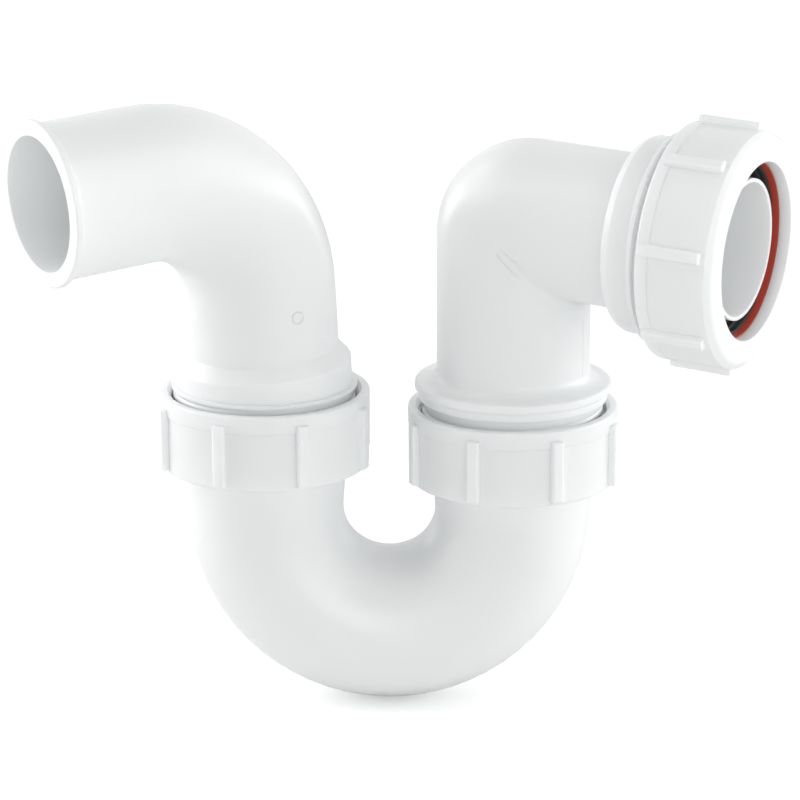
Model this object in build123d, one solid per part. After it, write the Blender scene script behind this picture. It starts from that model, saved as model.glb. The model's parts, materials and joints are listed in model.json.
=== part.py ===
from build123d import *
from math import cos, radians, sin, tan
import os

# Tubular swivel trap for a 1 1/2 in waste, with a 75 mm water seal. Millimetres, +Z up.
# The bend lies in the XZ plane, the inlet leg on the -X side. Both elbows swing towards -Y.
# The model is built from the bend's centre and moved at the end, so that the origin is the
# centre of the hole that the waste pipe enters.

# Tubes
tube_radius = 20.0
inlet_bore_radius = 17.25
outlet_bore_radius = 17.0

# U-bend, with heights above the plane through the bend's centre
bend_radius = 32.5
inlet_leg_height = 17.9
outlet_leg_height = 13.6
leg_flange_thickness = 2.5
leg_flange_gap = 1.5
leg_flange_width = 1.7
leg_draft = 1.0
bend_wall = 3.1

# Union nuts, screwed up from below onto the elbows
union_nut_height = 20.0
union_nut_body_radius = 27.2
union_nut_wall = 2.6
union_nut_rim_step = 0.3
union_rib_rise = 1.9
union_nut_lip = 3.2
union_nut_chamfer = 0.5
union_nut_foot_round = 0.4
union_nut_rim_height = 4.5
union_rib_top_gap = 2.5
union_rib_foot_gap = 1.2
nut_rim_round = 0.5
nut_mouth_chamfer = 0.8
rib_count = 8
rib_width = 3.0
rib_round = 0.5

# Union thread, drawn as the cylinders at its roots
union_thread_gap = 1.3
union_end_wall = 2.9
union_end_chamfer = 0.6

# Union washers
washer_thickness = 2.5
washer_width = 4.3
washer_gap = 1.7

# Inlet elbow, which leans towards its arm from the thin ring upwards
inlet_swing = 32.1
inlet_lean = 3.0
inlet_droop = 3.2
inlet_axis_height = 93.2
inlet_reach = 63.5
inlet_sweep_radius = 32.5
inlet_flange_radius = 21.35
inlet_flange_thickness = 1.6
inlet_flange_flare = 0.9
inlet_rim_round = 0.5
inlet_collar_radius = 23.0
inlet_collar_top = 40.2
inlet_collar_cone = 3.6
inlet_collar_round = 1.0
inlet_ring_radius = 24.3
inlet_ring_height = 33.4
inlet_ring_thickness = 0.9

# Outlet elbow
outlet_swing = 27.4
outlet_fall = 2.2
outlet_axis_height = 79.2
outlet_reach = 67.3
outlet_turn_radius = 5.0
stop_flange_radius = 25.7
stop_flange_top = 34.7
stop_flange_edge = 1.9
stop_flange_cone = 0.9
stop_flange_fillet = 3.5
stop_flange_round = 0.7
stop_ring_radius = 24.6
stop_ring_thickness = 1.9

# Round in the outlet elbow's inner corner, where the arm's underside meets the leg's front
corner_round = 3.5
corner_bite = 0.04
corner_spread = 0.2
corner_backing = 4.0
corner_reach = 76.0
corner_sections = 9

# Compression socket, with depths behind the nut's face and steps from its thread's radius
socket_depth = 31.9
socket_shoulder_step = 1.6
socket_shoulder_length = 2.2
socket_shoulder_round = 1.2
socket_step = 0.7
socket_ring_depth = 23.7
socket_ring_rise = 1.2
socket_ring_thickness = 1.2
socket_end_depth = 6.5
socket_floor_depth = 28.7
socket_wall = 3.0
socket_seat_wall = 1.3
socket_seat_depth = 7.0
spigot_radius = 18.0
spigot_depth = 3.3

# Compression nut
compression_nut_length = 20.1
compression_nut_body_radius = 30.1
compression_nut_wall = 2.8
compression_nut_rim_step = 0.2
compression_nut_rim_height = 3.4
compression_rib_rise = 1.9
compression_rib_top_gap = 1.0
compression_rib_foot_gap = 2.8
compression_nut_lip = 3.2
compression_nut_chamfer = 1.8
compression_nut_face_step = 1.8
compression_nut_face_round = 1.8
compression_nut_aperture_gap = 0.3
compression_thread_gap = 1.3
compression_nut_turn = 31.2

# Slip ring and rubber seal
slip_ring_thickness = 1.8
slip_ring_bore_gap = 0.8
seal_width = 1.5
seal_rib_count = 4
seal_groove_depth = 0.7
seal_flange_gap = 0.3

# Clearances
running_gap = 0.3
seat_gap = 0.1

# An edge counts as one that is looked for within this distance
match_gap = 0.001

# The union nuts' sizes set the threads, the legs and the bend
union_nut_rim_radius = union_nut_body_radius + union_nut_rim_step
union_nut_rib_radius = union_nut_body_radius + union_rib_rise
union_bore_radius = union_nut_body_radius - union_nut_wall
union_thread_radius = union_bore_radius - union_thread_gap
washer_radius = union_bore_radius - washer_gap
washer_bore_radius = washer_radius - washer_width
leg_flange_radius = union_bore_radius - leg_flange_gap
leg_mouth_radius = leg_flange_radius - leg_flange_width
bend_tube_radius = leg_mouth_radius - leg_draft
bend_bore_radius = bend_tube_radius - bend_wall

# The compression nut's sizes set the socket, the seal and the slip ring
compression_nut_rim_radius = compression_nut_body_radius + compression_nut_rim_step
compression_nut_rib_radius = compression_nut_body_radius + compression_rib_rise
compression_nut_face_radius = compression_nut_body_radius - compression_nut_face_step
compression_bore_radius = compression_nut_body_radius - compression_nut_wall
socket_thread_radius = compression_bore_radius - compression_thread_gap
socket_radius = socket_thread_radius - socket_step
socket_shoulder_radius = socket_thread_radius - socket_shoulder_step
socket_ring_radius = socket_thread_radius + socket_ring_rise
socket_bore_radius = socket_thread_radius - socket_wall
socket_seat_radius = socket_thread_radius - socket_seat_wall
seal_bore_radius = socket_bore_radius - seal_width
slip_ring_bore_radius = seal_bore_radius + slip_ring_bore_gap
compression_nut_aperture = slip_ring_bore_radius + compression_nut_aperture_gap

# The outlet's reach, to the nut's face, sets where the socket lies along the arm
socket_start = outlet_reach - socket_depth
socket_ring_start = outlet_reach - socket_ring_depth
socket_end = outlet_reach - socket_end_depth
socket_floor = outlet_reach - socket_floor_depth
spigot_end = outlet_reach - spigot_depth


def turned(corners):
    """A solid of revolution about Z, from (radius, height) corners."""
    return revolve(Plane.XZ * make_face(Polyline(*corners, close=True)), Axis.Z)


def ring(outer, inner, low, high):
    """A plain washer shape about Z."""
    return turned([(inner, low), (outer, low), (outer, high), (inner, high)])


def round_edges(solid, radius, height):
    """The circular edges of a turned solid with this radius, at this height."""
    return [
        edge
        for edge in solid.edges().filter_by(GeomType.CIRCLE)
        if abs(edge.radius - radius) < match_gap and abs(edge.center().Z - height) < match_gap
    ]


def bent_tube(outer, bore, start, turn_radius, angle):
    """A tube bent through angle, from the start plane, towards its X direction."""
    centre = start.origin + start.x_dir * turn_radius
    return revolve(start * (Circle(outer) - Circle(bore)), Axis(centre, start.y_dir), angle)


def arm_plane(axis_height, droop):
    """The arm's frame before it swings: Z along the arm, which leaves the leg towards +X."""
    tilt = radians(droop)
    along = Vector(cos(tilt), 0, -sin(tilt))
    return Plane(origin=(0, 0, axis_height), x_dir=(0, 1, 0), z_dir=along)


def nut_wall(height, rim_height, body, rim, bore, aperture, lip, chamfer, face, face_round):
    """A nut's round wall, with its mouth upwards and its lip's outer face at height 0."""
    wall = turned([
        (aperture, 0), (face, 0), (body, chamfer), (body, height - rim_height),
        (rim, height - rim_height), (rim, height), (bore + nut_mouth_chamfer, height),
        (bore, height - nut_mouth_chamfer), (bore, lip), (aperture, lip),
    ])
    wall = fillet(round_edges(wall, rim, height), nut_rim_round)
    return fillet(round_edges(wall, face, 0), face_round)


def nut_ribs(inner, outer, low, high):
    """The grip ribs round a nut, from their roots in its wall out to their tops."""
    bar = Pos((inner + outer) / 2, 0, (low + high) / 2) * Box(outer - inner, rib_width, high - low)
    outer_face = bar.faces().sort_by(Axis.X)[-1]
    bar = fillet(outer_face.edges(), rib_round)
    return [place * bar for place in PolarLocations(0, rib_count, start_angle=180 / rib_count)]


def union_nut():
    """A union nut, from the outer face of its lip."""
    wall = nut_wall(
        union_nut_height, union_nut_rim_height, union_nut_body_radius, union_nut_rim_radius,
        union_bore_radius, leg_mouth_radius + running_gap, union_nut_lip, union_nut_chamfer,
        union_nut_body_radius - union_nut_chamfer, union_nut_foot_round,
    )
    rib_top = union_nut_height - union_rib_top_gap
    return wall + nut_ribs(
        (union_nut_body_radius + union_bore_radius) / 2, union_nut_rib_radius,
        union_rib_foot_gap, rib_top)


def leg(top):
    """One leg of the bend, with its draft and the flange that its nut pulls up."""
    flange_low = top - leg_flange_thickness
    return turned([
        (bend_bore_radius, 0), (bend_tube_radius, 0), (leg_mouth_radius, flange_low),
        (leg_flange_radius, flange_low), (leg_flange_radius, top), (bend_bore_radius, top),
    ])


def u_bend():
    """The bend with both legs."""
    start = Plane(origin=(-bend_radius, 0, 0), x_dir=(1, 0, 0), z_dir=(0, 0, -1))
    bend = bent_tube(bend_tube_radius, bend_bore_radius, start, bend_radius, 180)
    inlet_leg = Pos(-bend_radius, 0, 0) * leg(inlet_leg_height)
    outlet_leg = Pos(bend_radius, 0, 0) * leg(outlet_leg_height)
    return bend + inlet_leg + outlet_leg


def union_outside(base, top):
    """Corners up the outside of an elbow's threaded end, to the height of its ring."""
    return [
        (union_thread_radius - union_end_chamfer, base),
        (union_thread_radius, base + union_end_chamfer), (union_thread_radius, top),
    ]


def union_hollow(base, top, bore):
    """The wide inside of an elbow's threaded end, a cone that meets the bore at this top."""
    mouth = union_thread_radius - union_end_wall
    cone_low = top - (mouth - bore)
    return turned([(0, base), (mouth, base), (mouth, cone_low), (0, cone_low + mouth)])


def washer(base):
    """A union washer lying on the bend's flange."""
    return ring(washer_radius, washer_bore_radius, base, base + washer_thickness)


def inlet_foot(base):
    """The outside of the inlet elbow's upright threaded end and thin ring."""
    ring_top = inlet_ring_height + inlet_ring_thickness
    return turned([(0, base)] + union_outside(base, inlet_ring_height) + [
        (inlet_ring_radius, inlet_ring_height), (inlet_ring_radius, ring_top), (0, ring_top),
    ])


def inlet_stem(length):
    """The outside of the inlet elbow's collar and tube above the thin ring, along Z."""
    collar_length = inlet_collar_top - inlet_ring_height
    stem = turned([
        (0, 0), (inlet_collar_radius, 0), (inlet_collar_radius, collar_length),
        (tube_radius, collar_length + inlet_collar_cone), (tube_radius, length), (0, length),
    ])
    return fillet(round_edges(stem, inlet_collar_radius, collar_length), inlet_collar_round)


def inlet_arm(low):
    """The straight inlet arm with its flange, along Z."""
    flange_back = inlet_reach - inlet_flange_thickness
    arm = turned([
        (inlet_bore_radius, low), (tube_radius, low), (tube_radius, flange_back - inlet_flange_flare),
        (inlet_flange_radius, flange_back), (inlet_flange_radius, inlet_reach),
        (inlet_bore_radius, inlet_reach),
    ])
    return fillet(round_edges(arm, inlet_flange_radius, inlet_reach), inlet_rim_round)


def inlet_elbow():
    """The swept elbow with the open flanged inlet, before it swings."""
    turn = 90 + inlet_droop - inlet_lean
    tangent = inlet_sweep_radius * tan(radians(turn / 2))
    # The leaning stem, the arm and the leg's own axis make a triangle with these two sides.
    per_sine = (inlet_axis_height - inlet_ring_height) / sin(radians(turn))
    stem_length = per_sine * cos(radians(inlet_droop)) - tangent
    arm_low = per_sine * sin(radians(inlet_lean)) + tangent
    base = inlet_leg_height + washer_thickness
    lean = Pos(0, 0, inlet_ring_height) * Rot(0, inlet_lean, 0)
    body = inlet_foot(base) + lean * inlet_stem(stem_length)
    body -= union_hollow(base, inlet_ring_height, inlet_bore_radius)
    body -= lean * ring(inlet_bore_radius, 0, base - inlet_ring_height, stem_length)
    start = Plane.XY.offset(stem_length)
    bend = bent_tube(tube_radius, inlet_bore_radius, start, inlet_sweep_radius, turn)
    arm = arm_plane(inlet_axis_height, inlet_droop) * inlet_arm(arm_low)
    return body + lean * bend + arm


def outlet_bar(radius, low):
    """The leg, the tight turn and the arm of the outlet elbow, as one round bar."""
    turn = 90 + outlet_fall
    tangent = outlet_turn_radius * tan(radians(turn / 2))
    turn_height = outlet_axis_height - tangent
    # The seams of the two straight bars are turned away from the corner's inside.
    leg_bar = Rot(0, 0, 135) * ring(radius, 0, low, turn_height)
    arm_bar = Rot(0, 0, 90) * ring(radius, 0, tangent, socket_floor)
    # The turn's section stops at the line that it turns about, inside the bar.
    half = Rectangle(2 * radius, 2 * radius, align=(Align.MAX, Align.CENTER))
    section = Pos(-outlet_turn_radius, 0) * Circle(radius) & half
    corner = Pos(outlet_turn_radius, 0, turn_height) * revolve(section, Axis.Y, turn)
    return leg_bar + corner + arm_plane(outlet_axis_height, outlet_fall) * arm_bar


def corner_section(angle):
    """A slice of the inner corner's round, this far round the leg from the side under the arm."""
    turn = radians(angle)
    fall = radians(outlet_fall)
    from_leg = Vector(cos(turn), sin(turn), 0)
    from_arm = Vector(-sin(fall) * cos(turn), sin(turn), -cos(fall) * cos(turn))
    # A ball that touches both bars, drawn this much closer so that its round cuts into them
    reach = tube_radius + corner_round - corner_bite
    drop = reach * cos(turn) * tan(radians((90 + outlet_fall) / 2))
    ball = Vector(reach * cos(turn), reach * sin(turn), outlet_axis_height - drop)
    middle = (from_leg + from_arm).normalized()
    first = (from_leg * (1 + corner_spread) - from_arm * corner_spread).normalized()
    last = (from_arm * (1 + corner_spread) - from_leg * corner_spread).normalized()
    low = ball - first * corner_round
    high = ball - last * corner_round
    back = ball - middle * (corner_round + corner_backing)
    arc = Edge.make_three_point_arc(low, ball - middle * corner_round, high)
    return Wire([arc, Edge.make_line(high, back), Edge.make_line(back, low)])


def inner_corner():
    """The wedge that rounds the corner between the leg and the arm's underside."""
    step = 2 * corner_reach / (corner_sections - 1)
    return Solid.make_loft([corner_section(i * step - corner_reach) for i in range(corner_sections)])


def outlet_foot():
    """The outlet elbow's threaded end and the wide flange that stops its nut, solid inside."""
    base = outlet_leg_height + washer_thickness
    edge_low = stop_flange_top - stop_flange_edge
    ring_high = edge_low - stop_flange_cone
    ring_low = ring_high - stop_ring_thickness
    fillet_top = stop_flange_top + stop_flange_fillet
    foot = turned([(0, base)] + union_outside(base, ring_low) + [
        (stop_ring_radius, ring_low), (stop_ring_radius, ring_high), (stop_flange_radius, edge_low),
        (stop_flange_radius, stop_flange_top), (tube_radius, stop_flange_top),
        (tube_radius, fillet_top + stop_flange_round), (0, fillet_top + stop_flange_round),
    ])
    foot = fillet(round_edges(foot, stop_flange_radius, stop_flange_top), stop_flange_round)
    foot = fillet(round_edges(foot, tube_radius, stop_flange_top), stop_flange_fillet)
    return Rot(0, 0, 135) * foot


def socket():
    """The outside of the compression socket, about the arm's axis."""
    ring_end = socket_ring_start + socket_ring_thickness
    body = turned([
        (0, socket_start), (socket_shoulder_radius, socket_start),
        (socket_radius, socket_start + socket_shoulder_length), (socket_radius, socket_ring_start),
        (socket_ring_radius, socket_ring_start), (socket_ring_radius, ring_end),
        (socket_thread_radius, ring_end), (socket_thread_radius, socket_end), (0, socket_end),
    ])
    return fillet(round_edges(body, socket_shoulder_radius, socket_start), socket_shoulder_round)


def socket_hollow():
    """The room round the spigot that takes the waste pipe, with the seal's seat."""
    return turned([
        (spigot_radius, socket_floor), (socket_bore_radius, socket_floor),
        (socket_bore_radius, socket_end - socket_seat_depth), (socket_seat_radius, socket_end),
        (spigot_radius, socket_end),
    ])


def outlet_elbow():
    """The tight elbow with its compression socket and inner spigot, before it swings."""
    base = outlet_leg_height + washer_thickness
    arm = arm_plane(outlet_axis_height, outlet_fall)
    body = outlet_foot() + outlet_bar(tube_radius, stop_flange_top) + inner_corner()
    body += arm * (socket() + ring(spigot_radius, 0, socket_floor, spigot_end))
    body -= arm * socket_hollow()
    body -= union_hollow(base, stop_flange_top, outlet_bore_radius)
    body -= outlet_bar(outlet_bore_radius, base)
    return body - arm * ring(outlet_bore_radius, 0, socket_floor, spigot_end)


def compression_nut():
    """The nut round the outlet, from its front face backwards."""
    wall = nut_wall(
        compression_nut_length, compression_nut_rim_height, compression_nut_body_radius,
        compression_nut_rim_radius, compression_bore_radius, compression_nut_aperture,
        compression_nut_lip,
        compression_nut_chamfer, compression_nut_face_radius, compression_nut_face_round,
    )
    rib_top = compression_nut_length - compression_rib_top_gap
    return wall + nut_ribs(
        (compression_nut_body_radius + compression_bore_radius) / 2, compression_nut_rib_radius,
        compression_rib_foot_gap, rib_top)


def slip_ring():
    """The ring that lets the nut turn without dragging the seal."""
    outer = compression_bore_radius - running_gap
    high = outlet_reach - compression_nut_lip
    return ring(outer, slip_ring_bore_radius, high - slip_ring_thickness, high)


def seal():
    """The rubber seal: a wedge in the socket's seat, with a flange and ribs round its bore."""
    high = outlet_reach - compression_nut_lip - slip_ring_thickness
    low = socket_end - socket_seat_depth + seat_gap
    pitch = (high - low) / seal_rib_count
    ribs = []
    for i in range(seal_rib_count):
        foot = high - i * pitch
        ribs += [(seal_bore_radius, foot), (seal_bore_radius, foot - pitch / 3)]
        ribs += [(seal_bore_radius + seal_groove_depth, foot - pitch / 2)]
        ribs += [(seal_bore_radius + seal_groove_depth, foot - pitch * 5 / 6)]
    return turned(ribs + [
        (seal_bore_radius, low), (socket_bore_radius - seat_gap, low),
        (socket_seat_radius - seat_gap, socket_end), (socket_thread_radius - seal_flange_gap, socket_end),
        (socket_thread_radius - seal_flange_gap, high),
    ])


def assembly():
    """Every piece in its place, about the bend's centre, by name."""
    to_inlet = Pos(-bend_radius, 0, 0)
    to_outlet = Pos(bend_radius, 0, 0)
    inlet_turn = to_inlet * Rot(0, 0, 180 + inlet_swing)
    outlet_turn = to_outlet * Rot(0, 0, -outlet_swing)
    arm = outlet_turn * arm_plane(outlet_axis_height, outlet_fall).location
    nut_drop = leg_flange_thickness + union_nut_lip
    mouth_back = Pos(0, 0, outlet_reach) * Rot(180, 0, compression_nut_turn)
    return {
        "u_bend": u_bend(),
        "inlet_union_nut": to_inlet * Pos(0, 0, inlet_leg_height - nut_drop) * union_nut(),
        "inlet_washer": to_inlet * washer(inlet_leg_height),
        "inlet_elbow": inlet_turn * inlet_elbow(),
        "outlet_union_nut": to_outlet * Pos(0, 0, outlet_leg_height - nut_drop) * union_nut(),
        "outlet_washer": to_outlet * washer(outlet_leg_height),
        "outlet_elbow": outlet_turn * outlet_elbow(),
        "compression_seal": arm * seal(),
        "slip_ring": arm * slip_ring(),
        "compression_nut": arm * mouth_back * compression_nut(),
    }


def outlet_mouth():
    """The centre of the compression nut's front face, from the bend's centre."""
    tilt = radians(outlet_fall)
    swing = radians(outlet_swing)
    along = Vector(cos(tilt) * cos(swing), -cos(tilt) * sin(swing), -sin(tilt))
    return Vector(bend_radius, 0, outlet_axis_height) + along * outlet_reach


def main():
    os.makedirs("parts", exist_ok=True)
    to_origin = Location(-outlet_mouth())
    for name, piece in assembly().items():
        export_step(to_origin * piece, f"parts/{name}.step")


main()
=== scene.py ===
import json
from math import cos, pi, radians, sin, tan

import bmesh
import bpy
from mathutils import Matrix, Vector


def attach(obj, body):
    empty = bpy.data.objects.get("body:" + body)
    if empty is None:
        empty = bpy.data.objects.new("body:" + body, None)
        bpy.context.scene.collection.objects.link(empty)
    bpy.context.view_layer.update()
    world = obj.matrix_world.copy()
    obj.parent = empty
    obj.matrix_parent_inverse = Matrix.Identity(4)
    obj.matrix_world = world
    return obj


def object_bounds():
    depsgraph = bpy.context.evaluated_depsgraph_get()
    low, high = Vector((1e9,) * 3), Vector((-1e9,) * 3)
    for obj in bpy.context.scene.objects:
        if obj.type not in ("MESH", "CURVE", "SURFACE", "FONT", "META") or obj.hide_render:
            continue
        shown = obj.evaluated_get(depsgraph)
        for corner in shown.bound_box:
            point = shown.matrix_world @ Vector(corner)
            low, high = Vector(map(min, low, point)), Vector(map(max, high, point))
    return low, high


MM = 0.001

# Sizes in mm, as the solids have them, about the bend's centre
LEG_OFFSET = 32.5
TUBE_RADIUS = 20.0
INLET_SWING = 32.1
INLET_LEAN = 3.0
INLET_DROOP = 3.2
INLET_LEG_TOP = 17.9
INLET_RING_HEIGHT = 33.4
OUTLET_SWING = 27.4
OUTLET_FALL = 2.2
OUTLET_AXIS_HEIGHT = 79.2
OUTLET_REACH = 67.3
OUTLET_TURN = 5.0
OUTLET_LEG_TOP = 13.6
STOP_FLANGE_TOP = 34.7
FLANGE_FILLET = 3.6
SOCKET_START = 35.2
BEND_TUBE = 20.4
WASHER = 2.5
UNION_THREAD = 23.3
SOCKET_THREAD = 26.0
THREAD_GAP = 1.3
THREAD_PITCH = 3.0
THREAD_HEIGHT = 0.6
UNION_THREAD_SPAN = (2.0, 11.4)
UNION_NUT_THREAD_START = 1.0
UNION_NUT_THREAD_END = 12.6
SOCKET_THREAD_SPAN = (46.3, 59.0)
COMPRESSION_NUT_THREAD_SPAN = (49.6, 61.5)
INNER_SEAM_GAP = 26.0

SHARP_EDGE = 50
FLOOR_GAP = 0.0005
FLOOR_HALF = 4.0
PANEL_DISTANCE = 1.1
PANELS_AIM = (-0.092, 0.02, -0.05)

# The photograph's camera, in the row frame, in metres and degrees
CAMERA_AT = (-0.082379, -0.825793, 0.211132)
CAMERA_LENS = 153.74
CAMERA_PITCH = 16.817
CAMERA_YAW = 0.462
CAMERA_ROLL = -0.208

WHITE = (0.913, 0.93, 0.934)
WHITE_SHADE = (0.907, 0.926, 0.93)
RUBBER = (0.04, 0.04, 0.042)
RED = (0.5, 0.058, 0.034)


def place(x, y, z):
    """A point about the bend's centre, in mm, as a point in the row frame, in metres."""
    return Vector((x, y, z)) * MM - OUTLET_MOUTH


def direction(swing, fall, side):
    """The way an arm points: side is 1 for the outlet and -1 for the inlet."""
    tilt, turn = radians(fall), radians(swing)
    return Vector((side * cos(tilt) * cos(turn), -cos(tilt) * sin(turn), -sin(tilt)))


OUTLET_WAY = direction(OUTLET_SWING, OUTLET_FALL, 1)
INLET_WAY = direction(INLET_SWING, INLET_DROOP, -1)
OUTLET_MOUTH = Vector((LEG_OFFSET, 0, OUTLET_AXIS_HEIGHT)) * MM + OUTLET_WAY * OUTLET_REACH * MM


def axes(at, way, level):
    """A matrix whose Z runs along way from a point and whose X is level's part across it."""
    z = way.normalized()
    x = (level - z * level.dot(z)).normalized()
    turned = Matrix((x, z.cross(x), z)).transposed().to_4x4()
    return Matrix.Translation(at) @ turned


UP = Vector((0, 0, 1))
INLET_LEVEL = Vector((INLET_WAY.x, INLET_WAY.y, 0))
OUTLET_LEVEL = Vector((OUTLET_WAY.x, OUTLET_WAY.y, 0))
INLET_LEG = axes(place(-LEG_OFFSET, 0, 0), UP, INLET_LEVEL)
OUTLET_LEG = axes(place(LEG_OFFSET, 0, 0), UP, OUTLET_LEVEL)
OUTLET_ARM = axes(place(LEG_OFFSET, 0, OUTLET_AXIS_HEIGHT), OUTLET_WAY, UP)

# The outlet elbow in its leg's own frame, in mm: where its axes meet, its arm's way and its top's
ELBOW_CORNER = Vector((0, 0, OUTLET_AXIS_HEIGHT))
ELBOW_WAY = Vector((cos(radians(OUTLET_FALL)), 0, -sin(radians(OUTLET_FALL))))
ELBOW_UP = Vector((sin(radians(OUTLET_FALL)), 0, cos(radians(OUTLET_FALL))))
ELBOW_FOOT = STOP_FLANGE_TOP + FLANGE_FILLET


def add_piece(name, points, faces, matrix, body, material):
    """A mesh piece from points in mm in matrix's frame, riding on a body."""
    mesh = bpy.data.meshes.new(name)
    mesh.from_pydata([matrix @ (Vector(p) * MM) for p in points], [], faces)
    tidy = bmesh.new()
    tidy.from_mesh(mesh)
    bmesh.ops.remove_doubles(tidy, verts=tidy.verts, dist=1e-8)
    bmesh.ops.recalc_face_normals(tidy, faces=tidy.faces)
    tidy.to_mesh(mesh)
    tidy.free()
    mesh.shade_smooth()
    mesh.set_sharp_from_angle(angle=radians(SHARP_EDGE))
    mesh.materials.append(material)
    piece = bpy.data.objects.new(name, mesh)
    bpy.context.scene.collection.objects.link(piece)
    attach(piece, body)


def tube_faces(count, size, closed=False):
    """Faces of a sweep whose sections have this many points, with ends or joined up."""
    faces = []
    for i in range(count if closed else count - 1):
        for k in range(size):
            a, b = i * size + k, i * size + (k + 1) % size
            c, d = ((i + 1) % count) * size + (k + 1) % size, ((i + 1) % count) * size + k
            faces.append((a, b, c, d))
    if not closed:
        faces.append(tuple(range(size)))
        faces.append(tuple(range((count - 1) * size, count * size)))
    return faces


def add_thread(name, matrix, root, height, span, body, material):
    """A right-hand thread's ridge, standing out by height, or in if that is negative."""
    steps_a_turn = 96
    low, high = span
    steps = round((high - low) / THREAD_PITCH * steps_a_turn)
    fade = steps_a_turn // 5
    foot, crest, bite = 1.05, 0.38, 0.15
    inside = bite if height > 0 else -bite
    points = []
    for i in range(steps + 1):
        angle = 2 * pi * i / steps_a_turn
        middle = low + THREAD_PITCH * i / steps_a_turn
        part = min(1.0, i / fade, (steps - i) / fade)
        rise = height * (0.02 + 0.98 * part)
        for radius, offset in (
            (root - inside, -foot), (root, -foot),
            (root + rise * 0.9, -crest * 1.2), (root + rise, -crest * 0.7),
            (root + rise, crest * 0.7), (root + rise * 0.9, crest * 1.2),
            (root, foot), (root - inside, foot),
        ):
            points.append((radius * cos(angle), radius * sin(angle), middle + offset))
    add_piece(name, points, tube_faces(steps + 1, 8), matrix, body, material)


def add_seam(name, path, matrix, body, material):
    """A mould's parting line: a fine ridge along path, a list of points with their ways out."""
    half, rise, bite = 0.16, 0.045, 0.1
    side = Vector((0, 1, 0))
    points = []
    for at, way in path:
        points += [at - way * bite - side * half, at - side * half, at + way * rise,
                   at + side * half, at - way * bite + side * half]
    add_piece(name, points, tube_faces(len(path), 5), matrix, body, material)


def line(start, end, way, steps=12):
    """Points of a seam along a straight stretch of tube."""
    a, b, out = Vector(start), Vector(end), Vector(way).normalized()
    return [(a.lerp(b, i / steps), out) for i in range(steps + 1)]


def arc(centre, radius, first, last, outward, steps=40):
    """Points of a seam round a bend in the XZ plane, from one angle to another."""
    rows = []
    for i in range(steps + 1):
        angle = radians(first + (last - first) * i / steps)
        way = Vector((cos(angle), 0, sin(angle)))
        rows.append((Vector(centre) + way * radius, way * outward))
    return rows


def add_seams(material):
    """The parting lines of the bend and of the outlet elbow, in their planes of symmetry."""
    outer, inner = LEG_OFFSET + BEND_TUBE, LEG_OFFSET - BEND_TUBE
    bend = axes(place(0, 0, 0), UP, Vector((1, 0, 0)))
    add_seam("bend_outer_seam", arc((0, 0, 0), outer, 180, 360, 1, 80), bend, "bend", material)
    add_seam("bend_inner_seam", arc((0, 0, 0), inner, 180, 360, -1), bend, "bend", material)
    drop = OUTLET_TURN * tan(radians(90 + OUTLET_FALL) / 2)
    turn_at = Vector((OUTLET_TURN, 0, OUTLET_AXIS_HEIGHT - drop))
    back = line((-TUBE_RADIUS, 0, ELBOW_FOOT), (-TUBE_RADIUS, 0, turn_at.z), (-1, 0, 0))
    turn = arc(turn_at, TUBE_RADIUS + OUTLET_TURN, 180, 90 - OUTLET_FALL, 1)
    socket = ELBOW_CORNER + ELBOW_WAY * SOCKET_START
    top = line(turn[-1][0], socket + ELBOW_UP * TUBE_RADIUS, ELBOW_UP)
    seam = back + turn[1:] + top[1:]
    add_seam("elbow_back_seam", seam, OUTLET_LEG, "outlet_arm", material)
    head = (TUBE_RADIUS, 0, OUTLET_AXIS_HEIGHT - INNER_SEAM_GAP)
    front = line((TUBE_RADIUS, 0, ELBOW_FOOT), head, (1, 0, 0))
    add_seam("elbow_front_seam", front, OUTLET_LEG, "outlet_arm", material)
    start = ELBOW_CORNER - ELBOW_UP * TUBE_RADIUS + ELBOW_WAY * INNER_SEAM_GAP
    under = line(start, socket - ELBOW_UP * TUBE_RADIUS, -ELBOW_UP)
    add_seam("elbow_under_seam", under, OUTLET_LEG, "outlet_arm", material)


def add_gate(material):
    """The faint ring that the mould's gate left on the side of the inlet elbow's stem."""
    height, angle, radius, thick = 22.6, 90.0, 1.6, 0.05
    ring_at = Matrix.Translation((0, 0, INLET_RING_HEIGHT))
    lean = ring_at @ Matrix.Rotation(radians(INLET_LEAN), 4, "Y")
    around, ridge = 40, 8
    points = []
    for i in range(around):
        a = 2 * pi * i / around
        for k in range(ridge):
            b = 2 * pi * k / ridge
            wide = radius + thick * 2 * cos(b)
            turn = radians(angle) + wide * cos(a) / TUBE_RADIUS
            out = TUBE_RADIUS + thick * sin(b)
            up = height + wide * sin(a)
            points.append(lean @ Vector((out * cos(turn), out * sin(turn), up)))
    faces = tube_faces(around, ridge, closed=True)
    add_piece("inlet_gate", points, faces, INLET_LEG, "inlet_arm", material)


def new_material(name):
    """A material with its nodes, its links and its shader."""
    material = bpy.data.materials.new(name)
    material.use_nodes = True
    nodes = material.node_tree.nodes
    return material, nodes, material.node_tree.links, nodes["Principled BSDF"]


def noise(nodes, links, scale, detail=2.0):
    """A noise texture in the part's own coordinates, scale per metre."""
    where = nodes.new("ShaderNodeTexCoord")
    texture = nodes.new("ShaderNodeTexNoise")
    texture.inputs["Scale"].default_value = scale
    texture.inputs["Detail"].default_value = detail
    links.new(where.outputs["Object"], texture.inputs["Vector"])
    return texture


def spread_over(nodes, links, texture, low, high):
    """The texture's value, spread from low to high."""
    span = nodes.new("ShaderNodeMapRange")
    span.inputs["From Min"].default_value = 0.3
    span.inputs["From Max"].default_value = 0.7
    span.inputs["To Min"].default_value = low
    span.inputs["To Max"].default_value = high
    links.new(texture.outputs["Fac"], span.inputs["Value"])
    return span


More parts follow.
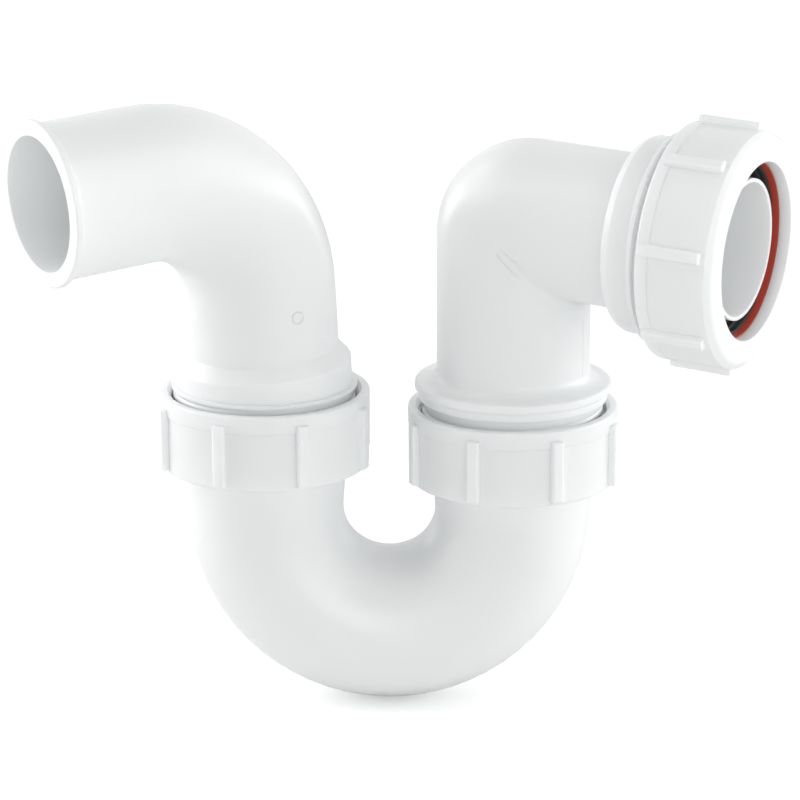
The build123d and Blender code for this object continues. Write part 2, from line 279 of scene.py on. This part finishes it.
def moulded(name, colour, shade, roughness, grain_scale, grain_depth, edge):
    """A moulded plastic or rubber: fine grain, faint cloudiness and softened edges."""
    material, nodes, links, shader = new_material(name)
    cloud = noise(nodes, links, 28.0)
    mix = nodes.new("ShaderNodeMix")
    mix.data_type = "RGBA"
    mix.inputs["A"].default_value = (*shade, 1)
    mix.inputs["B"].default_value = (*colour, 1)
    links.new(cloud.outputs["Fac"], mix.inputs["Factor"])
    links.new(mix.outputs["Result"], shader.inputs["Base Color"])
    patch = noise(nodes, links, 60.0)
    rough = spread_over(nodes, links, patch, roughness - 0.01, roughness + 0.01)
    links.new(rough.outputs["Result"], shader.inputs["Roughness"])
    grain = noise(nodes, links, grain_scale, 3.0)
    soft = nodes.new("ShaderNodeBevel")
    soft.samples = 6
    soft.inputs["Radius"].default_value = edge * MM
    bump = nodes.new("ShaderNodeBump")
    bump.inputs["Strength"].default_value = 0.15
    bump.inputs["Distance"].default_value = grain_depth * MM
    links.new(grain.outputs["Fac"], bump.inputs["Height"])
    links.new(soft.outputs["Normal"], bump.inputs["Normal"])
    links.new(bump.outputs["Normal"], shader.inputs["Normal"])
    shader.inputs["IOR"].default_value = 1.49
    return material, shader


def let_light_in(shader):
    """White polypropylene glows a little: light spreads through its thin walls."""
    shader.inputs["Subsurface Weight"].default_value = 0.5
    shader.inputs["Subsurface Radius"].default_value = (1, 1, 1)
    shader.inputs["Subsurface Scale"].default_value = 3.0 * MM


def paint_nodes():
    """Gives each solid its material by its slot."""
    white, shader = moulded("white_polypropylene", WHITE, WHITE_SHADE, 0.3, 1500.0, 0.02, 0.3)
    let_light_in(shader)
    rubber, _ = moulded("black_rubber", RUBBER, RUBBER, 0.5, 2500.0, 0.02, 0.1)
    red, _ = moulded("red_polypropylene", RED, RED, 0.35, 1500.0, 0.02, 0.15)
    by_slot = {"white_pp": white, "black_rubber": rubber, "red_pp": red}
    for part in frame["record"]["subparts"]:
        node = frame["nodes"][part["node"]]
        node.data.materials.clear()
        node.data.materials.append(by_slot[part["material_slot"]])


def add_trim_material():
    """The same plastic for thin ridges, which are too thin for light to spread in."""
    trim, _ = moulded("white_trim", WHITE, WHITE_SHADE, 0.3, 1500.0, 0.02, 0.3)
    return trim


def smooth_corner():
    """Shades the outlet elbow's inner corner as one round that runs out into both tubes."""
    node = frame["nodes"]["outlet_elbow"]
    mesh = node.data
    to_leg = OUTLET_LEG.inverted() @ node.matrix_world
    turned = to_leg.to_3x3().normalized()
    slack, touch, reach, steepest = 0.03, 0.002, 12.0, 0.6

    def off_tubes(point):
        """How far a point lies outside the leg and the arm, and the two ways out."""
        from_leg = Vector((point.x, point.y, 0))
        from_arm = (point - ELBOW_CORNER) - ELBOW_WAY * (point - ELBOW_CORNER).dot(ELBOW_WAY)
        return from_leg.length - TUBE_RADIUS, from_arm.length - TUBE_RADIUS, from_leg, from_arm

    spots = [to_leg @ vertex.co / MM for vertex in mesh.vertices]
    normals = [Vector(corner_normal.vector) for corner_normal in mesh.corner_normals]
    for face in mesh.polygons:
        heights = [spots[v].z for v in face.vertices]
        if min(heights) < ELBOW_FOOT or max(heights) > OUTLET_AXIS_HEIGHT:
            continue
        rows = [off_tubes(spots[v]) for v in face.vertices]
        on_leg = all(abs(row[0]) < touch for row in rows)
        on_arm = all(abs(row[1]) < touch for row in rows)
        near = all(-slack < gap < reach for row in rows for gap in row[:2])
        if not (on_leg or on_arm or near):
            continue
        ways = []
        for leg_gap, arm_gap, from_leg, from_arm in rows:
            leg_gap, arm_gap = max(leg_gap, 0), max(arm_gap, 0)
            part = arm_gap / (leg_gap + arm_gap) if leg_gap + arm_gap > 1e-6 else 0.5
            part = 1.0 if on_leg else 0.0 if on_arm else part
            way = from_leg.normalized() * part + from_arm.normalized() * (1 - part)
            ways.append(way.normalized())
        own = turned @ face.normal
        if min(own.dot(way) for way in ways) < steepest:
            continue
        for loop, way in zip(face.loop_indices, ways):
            normals[loop] = (turned.transposed() @ way).normalized()
    mesh.normals_split_custom_set(normals)


def add_camera():
    """The camera at the photograph's viewing angle."""
    data = bpy.data.cameras.new("camera")
    data.lens = CAMERA_LENS
    data.sensor_width = 36
    data.clip_start = 0.02
    camera = bpy.data.objects.new("camera", data)
    bpy.context.scene.collection.objects.link(camera)
    camera.matrix_world = (
        Matrix.Translation(CAMERA_AT)
        @ Matrix.Rotation(radians(CAMERA_YAW), 4, "Z")
        @ Matrix.Rotation(radians(90 - CAMERA_PITCH), 4, "X")
        @ Matrix.Rotation(radians(CAMERA_ROLL), 4, "Z")
    )
    bpy.context.scene.camera = camera


def add_panel(name, azimuth, elevation, width, height, power):
    """A soft light panel round the object: azimuth 0 is in front (-Y), 90 on the right (+X)."""
    a, e = radians(azimuth), radians(elevation)
    way = Vector((sin(a) * cos(e), -cos(a) * cos(e), sin(e)))
    data = bpy.data.lights.new(name, "AREA")
    data.shape = "RECTANGLE"
    data.size = width
    data.size_y = height
    data.energy = power
    lamp = bpy.data.objects.new(name, data)
    bpy.context.scene.collection.objects.link(lamp)
    lamp.location = Vector(PANELS_AIM) + way * PANEL_DISTANCE
    lamp.rotation_euler = way.to_track_quat("Z", "Y").to_euler()


def seen_directly(nodes, links):
    """1 for rays from the camera, off a gloss or through glass, else 0."""
    path = nodes.new("ShaderNodeLightPath")
    first = nodes.new("ShaderNodeMath")
    first.operation = "MAXIMUM"
    links.new(path.outputs["Is Camera Ray"], first.inputs[0])
    links.new(path.outputs["Is Transmission Ray"], first.inputs[1])
    second = nodes.new("ShaderNodeMath")
    second.operation = "MAXIMUM"
    links.new(first.outputs[0], second.inputs[0])
    links.new(path.outputs["Is Glossy Ray"], second.inputs[1])
    return second


def add_world(strength):
    """Even light from all round, before a background that is seen as white."""
    world = bpy.data.worlds.new("world")
    world.use_nodes = True
    bpy.context.scene.world = world
    nodes, links = world.node_tree.nodes, world.node_tree.links
    lit = nodes["Background"]
    lit.inputs["Color"].default_value = (1, 1, 1, 1)
    lit.inputs["Strength"].default_value = strength
    seen = nodes.new("ShaderNodeBackground")
    seen.inputs["Color"].default_value = (1, 1, 1, 1)
    seen.inputs["Strength"].default_value = 1.0
    mix = nodes.new("ShaderNodeMixShader")
    direct = seen_directly(nodes, links)
    links.new(direct.outputs[0], mix.inputs["Fac"])
    links.new(lit.outputs[0], mix.inputs[1])
    links.new(seen.outputs[0], mix.inputs[2])
    links.new(mix.outputs[0], nodes["World Output"].inputs["Surface"])


def add_floor(height, glow):
    """A pale floor that the camera sees as white, apart from the object's own soft shadow."""
    mesh = bpy.data.meshes.new("floor")
    corners = [(-1, -1), (1, -1), (1, 1), (-1, 1)]
    points = [(x * FLOOR_HALF, y * FLOOR_HALF, height) for x, y in corners]
    mesh.from_pydata(points, [], [(0, 1, 2, 3)])
    floor = bpy.data.objects.new("floor", mesh)
    bpy.context.scene.collection.objects.link(floor)
    material, nodes, links, shader = new_material("pale_floor")
    shader.inputs["Base Color"].default_value = (0.85, 0.85, 0.85, 1)
    shader.inputs["Roughness"].default_value = 0.9
    path = nodes.new("ShaderNodeLightPath")
    light = nodes.new("ShaderNodeEmission")
    spot = nodes.new("ShaderNodeNewGeometry")
    away = nodes.new("ShaderNodeVectorMath")
    away.operation = "LENGTH"
    ramp = nodes.new("ShaderNodeMapRange")
    ends = {"From Min": 0.4, "From Max": 1.4, "To Min": glow, "To Max": 1.1}
    for name, value in ends.items():
        ramp.inputs[name].default_value = value
    links.new(spot.outputs["Position"], away.inputs[0])
    links.new(away.outputs["Value"], ramp.inputs["Value"])
    links.new(ramp.outputs["Result"], light.inputs["Strength"])
    both = nodes.new("ShaderNodeAddShader")
    links.new(shader.outputs[0], both.inputs[0])
    links.new(light.outputs[0], both.inputs[1])
    mix = nodes.new("ShaderNodeMixShader")
    links.new(path.outputs["Is Camera Ray"], mix.inputs["Fac"])
    links.new(shader.outputs[0], mix.inputs[1])
    links.new(both.outputs[0], mix.inputs[2])
    links.new(mix.outputs[0], nodes["Material Output"].inputs["Surface"])
    mesh.materials.append(material)


def add_threads(material):
    """The ridges of the three screw threads, on the elbows and in the nuts."""
    female = -THREAD_HEIGHT
    union_wall = UNION_THREAD + THREAD_GAP
    socket_wall = SOCKET_THREAD + THREAD_GAP
    legs = ((INLET_LEG, INLET_LEG_TOP, "inlet"), (OUTLET_LEG, OUTLET_LEG_TOP, "outlet"))
    for leg, top, name in legs:
        base = top + WASHER
        span = [base + end for end in UNION_THREAD_SPAN]
        add_thread(f"{name}_thread", leg, UNION_THREAD, THREAD_HEIGHT, span,
                   f"{name}_arm", material)
        span = (base + UNION_NUT_THREAD_START, top + UNION_NUT_THREAD_END)
        add_thread(f"{name}_nut_thread", leg, union_wall, female, span,
                   f"{name}_nut", material)
    add_thread("socket_thread", OUTLET_ARM, SOCKET_THREAD, THREAD_HEIGHT,
               SOCKET_THREAD_SPAN, "outlet_arm", material)
    add_thread("compression_nut_thread", OUTLET_ARM, socket_wall, female,
               COMPRESSION_NUT_THREAD_SPAN, "pipe_nut", material)


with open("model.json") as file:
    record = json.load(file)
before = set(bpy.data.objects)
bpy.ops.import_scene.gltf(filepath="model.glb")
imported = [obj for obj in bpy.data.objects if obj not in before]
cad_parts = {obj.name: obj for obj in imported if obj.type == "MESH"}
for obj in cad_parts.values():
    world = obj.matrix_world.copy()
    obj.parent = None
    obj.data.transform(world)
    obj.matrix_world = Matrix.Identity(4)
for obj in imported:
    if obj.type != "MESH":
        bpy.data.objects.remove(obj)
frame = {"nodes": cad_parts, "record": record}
cad_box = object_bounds()
add_camera()
paint_nodes()
trim = add_trim_material()
add_threads(trim)
add_seams(trim)
add_gate(trim)
smooth_corner()

add_world(0.28)
add_panel("left_panel", -105, 5, 1.2, 0.6, 5.6)
add_panel("left_high_panel", -105, 30, 1.2, 1.0, 6.8)
add_panel("right_panel", 107, 5, 1.0, 0.6, 5.4)
add_panel("right_high_panel", 80, 30, 1.0, 1.0, 3.4)
add_panel("front_panel", 20, 8, 1.0, 0.7, 4.2)
add_panel("back_panel", 180, 30, 1.0, 1.0, 0.6)
add_panel("top_strip", 0, 73, 2.2, 0.25, 1.6)
add_floor(cad_box[0][2] - FLOOR_GAP, 0.35)
bpy.context.scene.view_settings.view_transform = "Standard"
